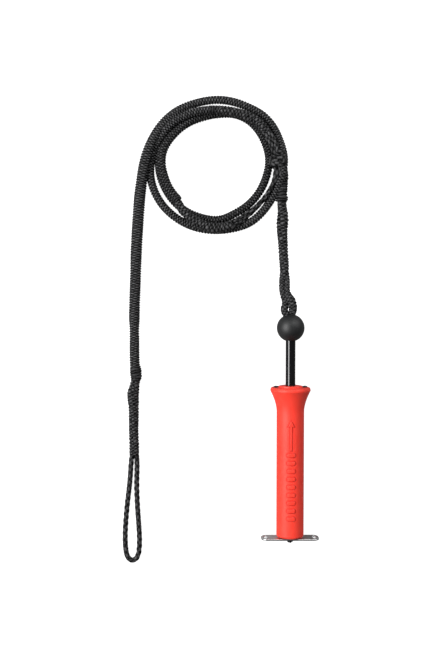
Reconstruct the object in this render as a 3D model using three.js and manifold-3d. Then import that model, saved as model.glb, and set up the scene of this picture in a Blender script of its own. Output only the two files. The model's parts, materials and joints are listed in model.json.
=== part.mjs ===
// A push-away release handle for a tow rope, with its coiled rope.
// Millimetres, +Z up. The handle lies on the ground along +Y, the rope runs off from its ball end.
// Origin: under the middle of the handle, at ground level.
import * as THREE from "three";
import { mergeVertices } from "three/addons/utils/BufferGeometryUtils.js";
import Module from "manifold-3d";

// ---- Driving dimensions of the handle, along its own axis from the sleeve's lower end ----
const GAP = 0.3; // left between pieces that touch
const SLEEVE_LENGTH = 125;
const BODY_R = 11.4; // outside of the grip
const FLANGE_R = 16.7; // outside of the hand stop
const FLARE_LENGTH = 20;
const LOWER_BORE_R = 9.0;
const UPPER_BORE_R = 10.0;
const STEP_Y = 60; // where the bore widens, the seat of the pin carrier

const CAP_R = 15.0;
const CAP_THICK = 2.7;
const CAP_SPIGOT = 2.8;
const BOSS_R = 9.6;
const BOSS_HEIGHT = 1.4;
const SCREW_X = 12.0; // cap screws, either side of the axis
const SCREW_SHANK_R = 1.2;
const SCREW_HEAD_R = 2.0;
const SCREW_HEAD_HEIGHT = 1.5;
const SCREW_DEPTH = 6.4;

const TUBE_R = 4.1;
const TUBE_BORE_R = 2.7;
const TUBE_BOTTOM = 44;
const TUBE_TOP = 170;
const BALL_R = 11.45;
const BALL_Y = 174.4;
const BALL_BORE_R = 2.3;
const CORE_LINE_R = 2.0;

const COLLAR_R = 8.6;
const COLLAR_BOTTOM = 113.5;
const COLLAR_TOP = 119.0;
const GRUB_R = 1.4;
const CARRIER_R = 9.7;
const CARRIER_THICK = 4;
const SPRING_R = 6.6; // to the middle of the wire
const WIRE_R = 0.5;
const SPRING_TURNS = 8;

const CHASSIS_R = 8.7;
const CHASSIS_BOTTOM = 0.5;
const CHASSIS_TOP = 59;
const CHAMBER_BOTTOM = 33;
const PIN_R = 1.0;
const PIN_Z = 5.45; // off the axis, clear of the tube
const PIN_TIP = 9;
const GROOVE_WIDTH = 7;
const GROOVE_BOTTOM = 12;
const GROOVE_FLOOR = 3.4;
const LOOP_Y = 17; // height at which the loop goes round the pin
const LOOP_LINE_R = 1.0;
const LEG_X = 1.15; // the loop's two legs, either side of the axis
const LEG_BORE_R = 2.4;

const PLATE_LENGTH = 46.7;
const PLATE_DEPTH = 14;
const PLATE_THICK = 1.5;
const PLATE_CORNER_R = 5;
const PLATE_EDGE_R = 0.35;
const SLOT_X = 20.4;
const SLOT_WIDTH = 2.4;
const SLOT_LENGTH = 6.4;
const BUSH_R = 3.4;
const KNOT_R = 3.2;
const KNOT_THICK = 3.0;

// ---- Driving dimensions of the rope ----
const COIL_CENTRE = [-61.4, 221.4];
const COIL_OUTER_R = 60.5;
const COIL_INNER_R = 40.5;
const COIL_HEIGHT = 12.5;
const EYE_R = 2.7;
const SPLICE_R = 3.7;
const WHIPPING_R = 5.3;
const LEAD_R = 4.3;
const FAR_SPLICE_R = 3.9;
const LOOP_STRAND_R = 1.95;

const wasm = await Module();
wasm.setup();

// ---- Materials ----
const material = (color, roughness, metalness) =>
  new THREE.MeshStandardMaterial({ color, roughness, metalness });
const redRubber = material(0xe8392b, 0.5, 0);
const redPlastic = material(0xe33a2c, 0.45, 0);
const blackPlastic = material(0x1b1b1d, 0.45, 0);
const blackAnodised = material(0x121315, 0.2, 0.6);
const stainless = material(0xb9bcbf, 0.25, 1);
const springSteel = material(0x8d9094, 0.35, 1);
const blackRope = material(0x1a1a1b, 0.9, 0);
const greyLine = material(0x3a3c40, 0.8, 0);

// ---- Shape helpers ----

// A closed geometry as a solid that can be cut and joined.
function solid(geometry) {
  const bare = geometry.clone();
  bare.deleteAttribute("normal");
  bare.deleteAttribute("uv");
  const merged = mergeVertices(bare, 1e-4);
  return new wasm.Manifold(
    new wasm.Mesh({
      numProp: 3,
      vertProperties: merged.attributes.position.array,
      triVerts: new Uint32Array(merged.index.array),
    }),
  );
}

// A solid back as a geometry.
function geometryOf(shape) {
  const mesh = shape.getMesh();
  const geometry = new THREE.BufferGeometry();
  const points = new THREE.BufferAttribute(mesh.vertProperties, 3);
  geometry.setAttribute("position", points);
  geometry.setIndex(new THREE.BufferAttribute(mesh.triVerts, 1));
  geometry.computeVertexNormals();
  return geometry;
}

// A body turned about +Y, with a flat facet facing the ground.
function turned(profile, sides) {
  const points = profile.map(([r, y]) => new THREE.Vector2(r, y));
  return new THREE.LatheGeometry(points, sides, Math.PI / sides);
}

// A ring or pipe between two radii and two heights.
function ring(inner, outer, low, high, sides) {
  const section = [[inner, low], [outer, low], [outer, high], [inner, high], [inner, low]];
  return turned(section, sides);
}

// A solid rod along +Y.
function rod(radius, low, high, sides) {
  return turned([[0, low], [radius, low], [radius, high], [0, high]], sides);
}

// A quarter round from one profile point to another, as points of a profile.
function quarter(cx, cy, rx, ry, from, steps) {
  const arc = [];
  for (let i = 0; i <= steps; i += 1) {
    const angle = from + (i / steps) * (Math.PI / 2);
    arc.push([cx + rx * Math.cos(angle), cy + ry * Math.sin(angle)]);
  }
  return arc;
}

// A round tube along a smooth route through the given points.
function tube(points, radius, sides, steps) {
  const section = new THREE.Shape();
  for (let i = 0; i < sides; i += 1) {
    const angle = ((i + 0.5) / sides) * 2 * Math.PI;
    const x = radius * Math.cos(angle);
    const y = radius * Math.sin(angle);
    if (i === 0) section.moveTo(x, y);
    else section.lineTo(x, y);
  }
  section.closePath();
  const route = new THREE.CatmullRomCurve3(points.map((p) => new THREE.Vector3(...p)));
  return new THREE.ExtrudeGeometry(section, { steps, bevelEnabled: false, extrudePath: route });
}

function box(width, length, height, x, y, z) {
  return new THREE.BoxGeometry(width, length, height).translate(x, y, z);
}

// ---- The handle, turned about its own +Y axis ----
const handle = new THREE.Group();
const rope = new THREE.Group();

function add(group, name, geometry, finish) {
  const mesh = new THREE.Mesh(geometry, finish);
  mesh.name = name;
  group.add(mesh);
}

// Screw holes in the hand stop, one either side.
function screwHoles(radius, low, high) {
  const hole = rod(radius, low, high, 12);
  const left = solid(hole.clone().translate(-SCREW_X, 0, 0));
  return left.add(solid(hole.clone().translate(SCREW_X, 0, 0)));
}

function gripSleeve() {
  const recessR = CAP_R + GAP;
  const recessY = SLEEVE_LENGTH - CAP_THICK - GAP;
  const flareY = SLEEVE_LENGTH - FLARE_LENGTH;
  const profile = [[LOWER_BORE_R, 0], ...quarter(BODY_R - 2, 2, 2, 2, -Math.PI / 2, 3)];
  const flareSteps = 7;
  for (let i = 0; i <= flareSteps; i += 1) {
    const t = i / flareSteps;
    const swell = Math.pow(t, 1.75);
    profile.push([BODY_R + (FLANGE_R - BODY_R) * swell, flareY + (FLARE_LENGTH - 2.6) * t]);
  }
  profile.push(...quarter(FLANGE_R - 1.2, SLEEVE_LENGTH - 1.4, 1.2, 1.4, 0, 3));
  profile.push([recessR, SLEEVE_LENGTH], [recessR, recessY], [UPPER_BORE_R, recessY]);
  profile.push([UPPER_BORE_R, STEP_Y], [LOWER_BORE_R, STEP_Y], [LOWER_BORE_R, 0]);
  const body = solid(turned(profile, 36));
  const holes = screwHoles(SCREW_SHANK_R + GAP, recessY - 4.4, recessY + 1);
  return geometryOf(body.subtract(holes));
}

function topCap() {
  const low = SLEEVE_LENGTH - CAP_THICK;
  const boreR = TUBE_R + GAP;
  const bossTop = SLEEVE_LENGTH + BOSS_HEIGHT;
  const profile = [[boreR, low - CAP_SPIGOT], [UPPER_BORE_R - GAP, low - CAP_SPIGOT]];
  profile.push([UPPER_BORE_R - GAP, low], [CAP_R, low], [CAP_R, SLEEVE_LENGTH]);
  profile.push([BOSS_R, SLEEVE_LENGTH], ...quarter(BOSS_R - 0.7, bossTop - 0.7, 0.7, 0.7, 0, 2));
  profile.push([boreR, bossTop], [boreR, low - CAP_SPIGOT]);
  const body = solid(turned(profile, 36));
  return geometryOf(body.subtract(screwHoles(SCREW_SHANK_R + GAP, low - 4, SLEEVE_LENGTH + 1)));
}

function capScrew(side) {
  const under = SLEEVE_LENGTH + GAP;
  const tip = under - SCREW_DEPTH;
  const profile = [[0, tip], [SCREW_SHANK_R, tip], [SCREW_SHANK_R, under], [SCREW_HEAD_R, under]];
  profile.push(...quarter(SCREW_HEAD_R - 1, under + 0.5, 1, SCREW_HEAD_HEIGHT - 0.5, 0, 2));
  profile.push([0, under + SCREW_HEAD_HEIGHT]);
  return turned(profile, 14).translate(side * SCREW_X, 0, 0);
}

function ballStop() {
  const socketR = TUBE_R + GAP;
  const socketTop = TUBE_TOP + GAP;
  const mouth = Math.asin(socketR / BALL_R);
  const exit = Math.asin(BALL_BORE_R / BALL_R);
  const profile = [[BALL_BORE_R, socketTop], [socketR, socketTop]];
  const rows = 18;
  for (let i = 0; i <= rows; i += 1) {
    const angle = mouth + (i / rows) * (Math.PI - mouth - exit);
    profile.push([BALL_R * Math.sin(angle), BALL_Y - BALL_R * Math.cos(angle)]);
  }
  profile.push([BALL_BORE_R, socketTop]);
  return turned(profile, 32);
}

function stopCollar() {
  const body = solid(ring(TUBE_R + GAP, COLLAR_R, COLLAR_BOTTOM, COLLAR_TOP, 24));
  const middle = (COLLAR_BOTTOM + COLLAR_TOP) / 2;
  const drilled = rod(GRUB_R + GAP, 0, COLLAR_R + 1, 10).rotateX(-Math.PI / 2).translate(0, middle, 0);
  return geometryOf(body.subtract(solid(drilled)));
}

// A headless screw pointing at the tube from below.
function grubScrew(outer, y) {
  const length = outer - TUBE_R - 2 * GAP;
  return rod(GRUB_R, TUBE_R + GAP, TUBE_R + GAP + length, 10).rotateX(-Math.PI / 2).translate(0, y, 0);
}

function pinCarrier() {
  const low = STEP_Y + GAP;
  const body = solid(ring(TUBE_R + GAP, CARRIER_R, low, low + CARRIER_THICK, 28));
  const seat = rod(PIN_R + GAP, low - 1, low + CARRIER_THICK + 1, 12).translate(0, 0, PIN_Z);
  return geometryOf(body.subtract(solid(seat)));
}

// The pin is bonded into the carrier's seat by its upper end.
function releasePin() {
  const top = STEP_Y + CARRIER_THICK;
  return rod(PIN_R, PIN_TIP, top, 12).translate(0, 0, PIN_Z);
}

function chassis() {
  const socketR = TUBE_R + GAP;
  const profile = [[LEG_BORE_R, CHASSIS_BOTTOM], [CHASSIS_R - 0.6, CHASSIS_BOTTOM]];
  profile.push([CHASSIS_R, CHASSIS_BOTTOM + 0.6], [CHASSIS_R, CHASSIS_TOP], [socketR, CHASSIS_TOP]);
  profile.push([socketR, CHAMBER_BOTTOM], [LEG_BORE_R, CHAMBER_BOTTOM], [LEG_BORE_R, CHASSIS_BOTTOM]);
  const body = solid(turned(profile, 28));
  const grooveLength = CHASSIS_TOP + 1 - GROOVE_BOTTOM;
  const grooveMiddle = GROOVE_BOTTOM + grooveLength / 2;
  const grooveDepth = CHASSIS_R + 1 - GROOVE_FLOOR;
  const grooveZ = GROOVE_FLOOR + grooveDepth / 2;
  const groove = box(GROOVE_WIDTH, grooveLength, grooveDepth, 0, grooveMiddle, grooveZ);
  const socket = rod(PIN_R + GAP, PIN_TIP - 1, GROOVE_BOTTOM + 1, 12).translate(0, 0, PIN_Z);
  const window = box(GROOVE_WIDTH, 9, GROOVE_FLOOR + 1, 0, LOOP_Y - 0.5, (GROOVE_FLOOR + 1) / 2);
  const drilled = rod(GRUB_R + GAP, 0, CHASSIS_R + 1, 10).rotateX(-Math.PI / 2).translate(0, 51, 0);
  const tools = [groove, socket, window, drilled];
  return geometryOf(tools.reduce((shape, tool) => shape.subtract(solid(tool)), body));
}

// Two legs up the chassis, turned out through its window and round the pin.
function releaseLoop() {
  const under = -PLATE_THICK - 2 * GAP;
  const reach = PIN_Z + PIN_R + LOOP_LINE_R + 0.2;
  const leg = (side) => [
    [side * LEG_X, under, 0],
    [side * LEG_X, 5, 0],
    [side * LEG_X, LOOP_Y - 4, 0],
    [side * 1.3, LOOP_Y - 1, 0.9],
    [side * 1.7, LOOP_Y, 3.2],
    [side * 2.1, LOOP_Y, PIN_Z],
  ];
  const bight = [[1.4, LOOP_Y, reach - 0.5], [0, LOOP_Y, reach], [-1.4, LOOP_Y, reach - 0.5]];
  return tube([...leg(1), ...bight, ...leg(-1).reverse()], LOOP_LINE_R, 8, 44);
}

function returnSpring() {
  const low = STEP_Y + GAP + CARRIER_THICK + GAP + WIRE_R;
  const high = COLLAR_BOTTOM - GAP - WIRE_R;
  const perTurn = 10;
  const points = [];
  for (let i = 0; i <= SPRING_TURNS * perTurn; i += 1) {
    const turn = (i / perTurn) * 2 * Math.PI;
    const height = low + ((high - low) * i) / (SPRING_TURNS * perTurn);
    points.push([SPRING_R * Math.sin(turn), height, SPRING_R * Math.cos(turn)]);
  }
  return tube(points, WIRE_R, 6, SPRING_TURNS * perTurn);
}

// A flat bar with round corners, a lashing slot at each end and a hole for its bush.
function plate() {
  const halfLength = PLATE_LENGTH / 2;
  const halfDepth = PLATE_DEPTH / 2;
  const r = PLATE_CORNER_R;
  const outline = new THREE.Shape();
  outline.moveTo(-halfLength + r, -halfDepth);
  outline.lineTo(halfLength - r, -halfDepth);
  outline.absarc(halfLength - r, -halfDepth + r, r, -Math.PI / 2, 0, false);
  outline.absarc(halfLength - r, halfDepth - r, r, 0, Math.PI / 2, false);
  outline.absarc(-halfLength + r, halfDepth - r, r, Math.PI / 2, Math.PI, false);
  outline.absarc(-halfLength + r, -halfDepth + r, r, Math.PI, 1.5 * Math.PI, false);
  for (const side of [-1, 1]) {
    const slot = new THREE.Path();
    const end = SLOT_LENGTH / 2 - SLOT_WIDTH / 2;
    slot.moveTo(side * SLOT_X + SLOT_WIDTH / 2, -end);
    slot.absarc(side * SLOT_X, end, SLOT_WIDTH / 2, 0, Math.PI, false);
    slot.absarc(side * SLOT_X, -end, SLOT_WIDTH / 2, Math.PI, 2 * Math.PI, false);
    outline.holes.push(slot);
  }
  const hole = new THREE.Path();
  hole.absarc(0, 0, BUSH_R + GAP, 0, 2 * Math.PI, false);
  outline.holes.push(hole);
  const edge = { bevelThickness: PLATE_EDGE_R, bevelSize: PLATE_EDGE_R, bevelOffset: -PLATE_EDGE_R };
  const depth = PLATE_THICK - 2 * PLATE_EDGE_R;
  const bar = new THREE.ExtrudeGeometry(outline, { depth, bevelSegments: 1, curveSegments: 6, ...edge });
  return bar.translate(0, 0, GAP + PLATE_EDGE_R).rotateX(Math.PI / 2);
}

function plateBush() {
  return ring(LEG_BORE_R, BUSH_R, -GAP - PLATE_THICK, -GAP, 16);
}

// The stopper knot, drawn up under the bush.
function loopKnot() {
  const high = -PLATE_THICK - 2 * GAP - GAP;
  const middle = high - KNOT_THICK / 2;
  const rows = 6;
  const profile = [];
  for (let i = 0; i <= rows; i += 1) {
    const angle = -Math.PI / 2 + (i / rows) * Math.PI;
    const r = i === 0 || i === rows ? 0 : KNOT_R * Math.cos(angle);
    profile.push([r, middle + (KNOT_THICK / 2) * Math.sin(angle)]);
  }
  return turned(profile, 14);
}

add(handle, "grip_sleeve", gripSleeve(), redRubber);
add(handle, "top_cap", topCap(), redPlastic);
add(handle, "cap_screw_left", capScrew(-1), blackPlastic);
add(handle, "cap_screw_right", capScrew(1), blackPlastic);
add(handle, "tube", ring(TUBE_BORE_R, TUBE_R, TUBE_BOTTOM, TUBE_TOP, 24), blackAnodised);
add(handle, "ball_stop", ballStop(), blackPlastic);
add(handle, "stop_collar", stopCollar(), blackPlastic);
add(handle, "collar_grub_screw", grubScrew(COLLAR_R, (COLLAR_BOTTOM + COLLAR_TOP) / 2), springSteel);
add(handle, "return_spring", returnSpring(), springSteel);
add(handle, "pin_carrier", pinCarrier(), blackPlastic);
add(handle, "release_pin", releasePin(), stainless);
add(handle, "chassis", chassis(), blackPlastic);
add(handle, "chassis_grub_screw", grubScrew(CHASSIS_R, 51), springSteel);
add(handle, "core_line", rod(CORE_LINE_R, 43.7, BALL_Y + BALL_R - 0.4, 10), blackRope);
add(handle, "line_crimp", rod(3.6, CHAMBER_BOTTOM + 2, 43.4, 16), springSteel);
add(handle, "release_loop", releaseLoop(), greyLine);
add(handle, "plate", plate(), stainless);
add(handle, "plate_bush", plateBush(), blackPlastic);
add(handle, "loop_knot", loopKnot(), greyLine);

// The handle lies on its hand stop and on the lower rim of its grip, centred over the origin.
const rimSpan = SLEEVE_LENGTH - 4.6;
handle.rotation.x = Math.atan2(FLANGE_R - BODY_R, rimSpan);
handle.updateMatrixWorld(true);
const extent = new THREE.Box3().setFromObject(handle, true);
handle.position.set(0, -(extent.min.y + extent.max.y) / 2, -extent.min.z);

// ---- The rope, in the part's own frame ----

// The eye that the rope makes at the ball: out of its bore, round, and back in.
const eyeRoute = [
  [-4.2, 96.2, 19.6], [-5.9, 100.0, 19.8], [-5.8, 104.6, 19.7], [-4.2, 108.4, 19.4],
  [-1.6, 109.8, 19.2], [0.9, 107.8, 19.4], [2.1, 103.6, 19.6], [2.2, 99.6, 19.7], [1.6, 96.2, 19.6],
];
add(rope, "near_eye_loop", tube(eyeRoute, EYE_R, 8, 24), blackRope);

// Down from the eye to the ground.
const nearSpliceRoute = [
  [-4.3, 113.4, 18.3], [-4.7, 120.0, 16.4], [-4.7, 130.0, 12.4], [-4.7, 141.2, 8.6],
  [-5.1, 153.0, 5.5], [-5.7, 166.9, 4.0], [-5.8, 178.0, 4.0], [-5.7, 190.6, 4.2],
];
add(rope, "near_splice", tube(nearSpliceRoute, SPLICE_R, 8, 12), blackRope);

// A whipping is a short wound collar over the end of the rope's cover.
function whipping(start, end, radius) {
  const from = new THREE.Vector3(...start);
  const along = new THREE.Vector3(...end).sub(from);
  const length = along.length();
  const taper = radius * 0.75;
  const profile = [[0, 0], [taper, 0], [radius, 1.2], [radius, length - 1.2], [taper, length], [0, length]];
  const collar = turned(profile, 14);
  const turn = new THREE.Quaternion().setFromUnitVectors(new THREE.Vector3(0, 1, 0), along.normalize());
  return collar.applyQuaternion(turn).translate(...start);
}
const nearWhipping = whipping([-5.7, 191.2, 5.4], [-5.3, 202.4, 5.4], WHIPPING_R);
add(rope, "near_whipping", nearWhipping, blackRope);

// The coil's turns, as the ring that they fill, notched where the whipped end runs into it.
function coil() {
  const lathed = ring(COIL_INNER_R, COIL_OUTER_R, 0, COIL_HEIGHT, 48).rotateX(Math.PI / 2);
  const body = solid(lathed.translate(COIL_CENTRE[0], COIL_CENTRE[1], 0));
  const notch = box(18, 22, COIL_HEIGHT + 2, -3.0, 191.8, COIL_HEIGHT / 2);
  return geometryOf(body.subtract(solid(notch)));
}
add(rope, "rope_coil", coil(), blackRope);

// Off the coil and straight down beside the handle.
const farLeadRoute = [
  [-125.6, 206.0, 4.5], [-127.0, 185.0, 4.5], [-128.4, 158.5, 4.5], [-129.5, 133.0, 4.5],
  [-130.3, 107.8, 4.5], [-130.7, 74.0, 4.5], [-129.6, 48.2, 4.5],
];
add(rope, "far_lead", tube(farLeadRoute, LEAD_R, 8, 12), blackRope);
add(rope, "far_whipping", whipping([-129.3, 47.8, 5.0], [-129.1, 40.4, 5.0], 4.6), blackRope);

const farSpliceRoute = [
  [-129.2, 39.2, 4.1], [-130.1, 32.0, 4.1], [-131.2, 14.0, 4.1], [-131.3, -2.0, 4.1], [-131.0, -22.6, 4.1],
];
add(rope, "far_splice", tube(farSpliceRoute, FAR_SPLICE_R, 8, 8), blackRope);

const farLoopRoute = [
  [-133.2, -23.2, 2.2], [-134.7, -44.0, 2.2], [-136.6, -61.2, 2.2], [-138.2, -80.0, 2.2],
  [-138.7, -96.0, 2.2], [-137.0, -107.5, 2.2], [-132.6, -112.0, 2.2], [-128.2, -107.5, 2.2],
  [-126.6, -96.0, 2.2], [-127.3, -80.0, 2.2], [-128.6, -61.2, 2.2], [-128.9, -44.0, 2.2],
  [-128.9, -23.2, 2.2],
];
add(rope, "far_loop", tube(farLoopRoute, LOOP_STRAND_R, 8, 34), blackRope);

const assembly = new THREE.Group();
assembly.add(handle, rope);
export default assembly;
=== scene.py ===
"""Push-away release handle with its coiled braided rope: the looks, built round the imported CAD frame.

Lengths in this file are millimetres until a mesh is made, where MM turns them into metres.
"""

import cmath
import json
import math

import bmesh
import bpy
import numpy as np
from mathutils import Matrix, Vector


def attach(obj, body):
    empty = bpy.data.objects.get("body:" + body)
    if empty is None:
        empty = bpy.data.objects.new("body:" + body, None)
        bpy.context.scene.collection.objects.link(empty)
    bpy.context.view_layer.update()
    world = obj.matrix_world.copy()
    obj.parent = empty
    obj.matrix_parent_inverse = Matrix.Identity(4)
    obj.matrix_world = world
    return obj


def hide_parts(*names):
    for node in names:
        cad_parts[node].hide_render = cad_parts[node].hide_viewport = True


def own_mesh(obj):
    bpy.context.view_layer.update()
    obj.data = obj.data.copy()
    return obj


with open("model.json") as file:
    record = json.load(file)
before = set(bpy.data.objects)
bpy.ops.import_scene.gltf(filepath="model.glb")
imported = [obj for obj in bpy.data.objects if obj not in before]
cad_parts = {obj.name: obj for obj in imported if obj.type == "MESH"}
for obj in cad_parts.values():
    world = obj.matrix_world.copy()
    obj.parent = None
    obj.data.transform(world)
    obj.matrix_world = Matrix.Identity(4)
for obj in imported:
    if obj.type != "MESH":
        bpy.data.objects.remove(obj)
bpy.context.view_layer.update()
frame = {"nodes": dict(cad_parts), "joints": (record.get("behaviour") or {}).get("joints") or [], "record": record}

MM = 0.001
PI = math.pi
TAU = 2 * PI

# ---- dimensions shared with the CAD part
GAP = 0.3
SLEEVE_LENGTH = 125
BODY_R = 11.4
FLANGE_R = 16.7
FLARE_LENGTH = 20
LOWER_BORE_R = 9.0
UPPER_BORE_R = 10.0
STEP_Y = 60
CAP_R = 15.0
CAP_THICK = 2.7
CAP_SPIGOT = 2.8
BOSS_R = 9.6
BOSS_HEIGHT = 1.4
SCREW_X = 12.0
SCREW_SHANK_R = 1.2
SCREW_HEAD_R = 2.0
SCREW_HEAD_HEIGHT = 1.5
SCREW_DEPTH = 6.4
TUBE_R = 4.1
TUBE_BORE_R = 2.7
TUBE_BOTTOM = 44
TUBE_TOP = 170
BALL_R = 11.45
BALL_Y = 174.4
BALL_BORE_R = 2.3
COLLAR_R = 8.6
COLLAR_BOTTOM = 113.5
COLLAR_TOP = 119.0
CARRIER_R = 9.7
CARRIER_THICK = 4
SPRING_R = 6.6
WIRE_R = 0.5
SPRING_TURNS = 8
CHASSIS_R = 8.7
CHASSIS_BOTTOM = 0.5
CHASSIS_TOP = 59
CHAMBER_BOTTOM = 33
PIN_R = 1.0
PIN_Z = 5.45
PIN_TIP = 9
GROOVE_WIDTH = 7
GROOVE_BOTTOM = 12
GROOVE_FLOOR = 3.4
LOOP_Y = 17
LOOP_LINE_R = 1.0
LEG_X = 1.15
LEG_BORE_R = 2.4
GRUB_R = 1.4
GRUB_Y = 51
PLATE_LENGTH = 46.7
PLATE_DEPTH = 14
PLATE_THICK = 1.5
PLATE_CORNER_R = 5
SLOT_X = 20.4
SLOT_WIDTH = 2.4
SLOT_LENGTH = 6.4
BUSH_R = 3.4
KNOT_THICK = 3.0
COIL_CENTRE = (-61.4, 221.4)

# ---- sizes of the looks alone
PLATE_EXTRA = 0.8  # at each end of the plate
SCREW_SOCKET_R = 0.72
HITCH_LEAN = 14  # degrees, about +Y

# ---- the handle's own frame
SLIDE = next(j for j in frame["joints"] if j["name"] == "sleeve_slide")
SWIVEL = next(j for j in frame["joints"] if j["name"] == "plate_swivel")
AXIS = Vector(SLIDE["axis"]).normalized()
SWIVEL_Y = -1.0  # where the swivel's point lies along the handle
FOOT = Vector(SWIVEL["pos_m"]) - AXIS * SWIVEL_Y * MM
ACROSS = Vector((1, 0, 0))
HANDLE = Matrix.Translation(FOOT) @ Matrix((ACROSS, AXIS, ACROSS.cross(AXIS))).transposed().to_4x4()
ROW = Matrix.Identity(4)  # the shared frame's own rows, for what lies on the ground


def on_axis(y):
    """A point on the handle's axis, in metres."""
    return HANDLE @ Vector((0, y * MM, 0))


# ---- mesh helpers
def add_object(name, data):
    made = bpy.data.objects.new(name, data)
    bpy.context.scene.collection.objects.link(made)
    return made


def make_mesh(name, points, faces, matrix=ROW):
    """A smooth mesh object from points in millimetres and faces of any size, placed by a matrix."""
    mesh = bpy.data.meshes.new(name)
    points = np.asarray(points, float).reshape(-1, 3) * MM
    points = points @ np.array(matrix)[:3, :3].T + np.array(matrix)[:3, 3]
    mesh.from_pydata(points.tolist(), [], faces)
    mesh.shade_smooth()
    mesh.validate()
    return add_object(name, mesh)


def set_attribute(mesh, name, values):
    """Keeps a number for each point of a mesh."""
    layer = mesh.attributes.new(name, "FLOAT", "POINT")
    layer.data.foreach_set("value", values.astype(np.float32))


def tube_faces(rows, around, closed_rows=False):
    """Quads of a grid of rings, and the two end caps as fans onto two extra points."""
    i = np.arange(rows if closed_rows else rows - 1)[:, None]
    j = np.arange(around)[None, :]
    k, n = (j + 1) % around, (i + 1) % rows
    quads = np.stack([i * around + j, i * around + k, n * around + k, n * around + j], axis=-1)
    faces = [tuple(q) for q in quads.reshape(-1, 4).tolist()]
    if not closed_rows:
        first, last = rows * around, rows * around + 1
        base = (rows - 1) * around
        faces += [(first, (m + 1) % around, m) for m in range(around)]
        faces += [(last, base + m, base + (m + 1) % around) for m in range(around)]
    return faces


def soften(obj, degrees=32):
    """Shades smooth, with edges sharper than this kept sharp."""
    obj.data.set_sharp_from_angle(angle=math.radians(degrees))
    return obj


def mend(mesh, weld=0.0):
    """Turns a mesh's faces outwards, after joining points that are closer than this many metres."""
    work = bmesh.new()
    work.from_mesh(mesh)
    if weld:
        bmesh.ops.remove_doubles(work, verts=work.verts, dist=weld)
        bmesh.ops.dissolve_degenerate(work, edges=work.edges, dist=weld)
    bmesh.ops.recalc_face_normals(work, faces=work.faces)
    work.to_mesh(mesh)
    work.free()


def evaluated_mesh(obj):
    """A mesh of an object as its modifiers or its curve settings leave it."""
    bpy.context.view_layer.update()
    graph = bpy.context.evaluated_depsgraph_get()
    return bpy.data.meshes.new_from_object(obj.evaluated_get(graph))


def carve(obj, *tools):
    """Cuts the tools' solids out of an object, and removes them."""
    for tool in tools:
        cut = obj.modifiers.new("cut", "BOOLEAN")
        cut.operation = "DIFFERENCE"
        cut.solver = "EXACT"
        cut.object = tool
    mesh = evaluated_mesh(obj)
    obj.modifiers.clear()
    obj.data = mesh
    for tool in tools:
        bpy.data.objects.remove(tool)
    return soften(obj)


def fillet(corners, steps=5):
    """A profile through (r, y, corner radius) points, with its corners rounded.

    A close extra point on either side holds each arc, so that the sides stay flat up to it."""
    most = 0.45  # of a side's length, for the arc at either end of it
    hold = 0.15  # of the arc's reach, from the arc to the extra point
    out = []
    for i, (r, y, radius) in enumerate(corners):
        here = complex(r, y)
        if radius <= 0:
            out.append(here)
            continue
        back, on = (complex(*corners[k % len(corners)][:2]) - here for k in (i - 1, i + 1))
        half = abs(cmath.phase(on / back)) / 2
        reach = min(radius / math.tan(half), abs(back) * most, abs(on) * most)
        back, on = reach * back / abs(back), reach * on / abs(on)
        middle = here + (back + on) / (2 * math.cos(half) ** 2)
        spoke = here + back - middle
        sweep = cmath.phase((here + on - middle) / spoke)
        out.append(here + back * (1 + hold))
        out += [middle + spoke * cmath.exp(1j * sweep * k / steps) for k in range(steps + 1)]
        out.append(here + on * (1 + hold))
    return [(point.real, point.imag) for point in out]


def lathe(name, profile, sides, matrix=HANDLE, offset=(0, 0, 0)):
    """A closed profile of (r, y) points turned about +Y."""
    angles = np.arange(sides) * TAU / sides
    r, y = (np.array(values)[:, None] for values in zip(*profile))
    rings = np.stack([r * np.sin(angles), y + 0 * angles, r * np.cos(angles)], axis=-1)
    rings = rings.reshape(-1, 3) + np.array(offset)
    made = make_mesh(name, rings, tube_faces(len(profile), sides, closed_rows=True), matrix)
    mend(made.data, weld=1e-7)
    return soften(made)


def rod(name, radius, low, high, sides, matrix=HANDLE, offset=(0, 0, 0)):
    """A solid round cutting bar along +Y."""
    return lathe(name, [(0, low), (radius, low), (radius, high), (0, high)], sides, matrix, offset)


def block(name, size, centre):
    """A plain cutting box."""
    square = [(-1, -1), (1, -1), (1, 1), (-1, 1)]
    signs = np.array([(x, y, z) for z in (-1, 1) for x, y in square])
    faces = [(0, 3, 2, 1), (4, 5, 6, 7), (0, 1, 5, 4), (1, 2, 6, 5), (2, 3, 7, 6), (3, 0, 4, 7)]
    return make_mesh(name, signs * np.array(size) / 2 + np.array(centre), faces, HANDLE)


# ---- routes and ropes
RELIEF_AT_RADIUS = 0.8  # the relief that lies at a rope's radius; its crests stand a little over it
RELIEF_AT_SHADE = 0.72  # the relief that has a rope's own shade


def natural_spline(knots, values):
    """Second derivatives of the natural cubic spline through values at knots."""
    h = np.diff(knots)
    slopes = np.diff(values, axis=0) / h[:, None]
    system = np.diag([1, *2 * (h[:-1] + h[1:]), 1]) + np.diag([*h[:-1], 0], -1) + np.diag([0, *h[1:]], 1)
    right = np.zeros_like(values)
    right[1:-1] = 6 * np.diff(slopes, axis=0)
    return np.linalg.solve(system, right)


def distances(line):
    return np.concatenate([[0], np.cumsum(np.linalg.norm(np.diff(line, axis=0), axis=1))])


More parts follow.
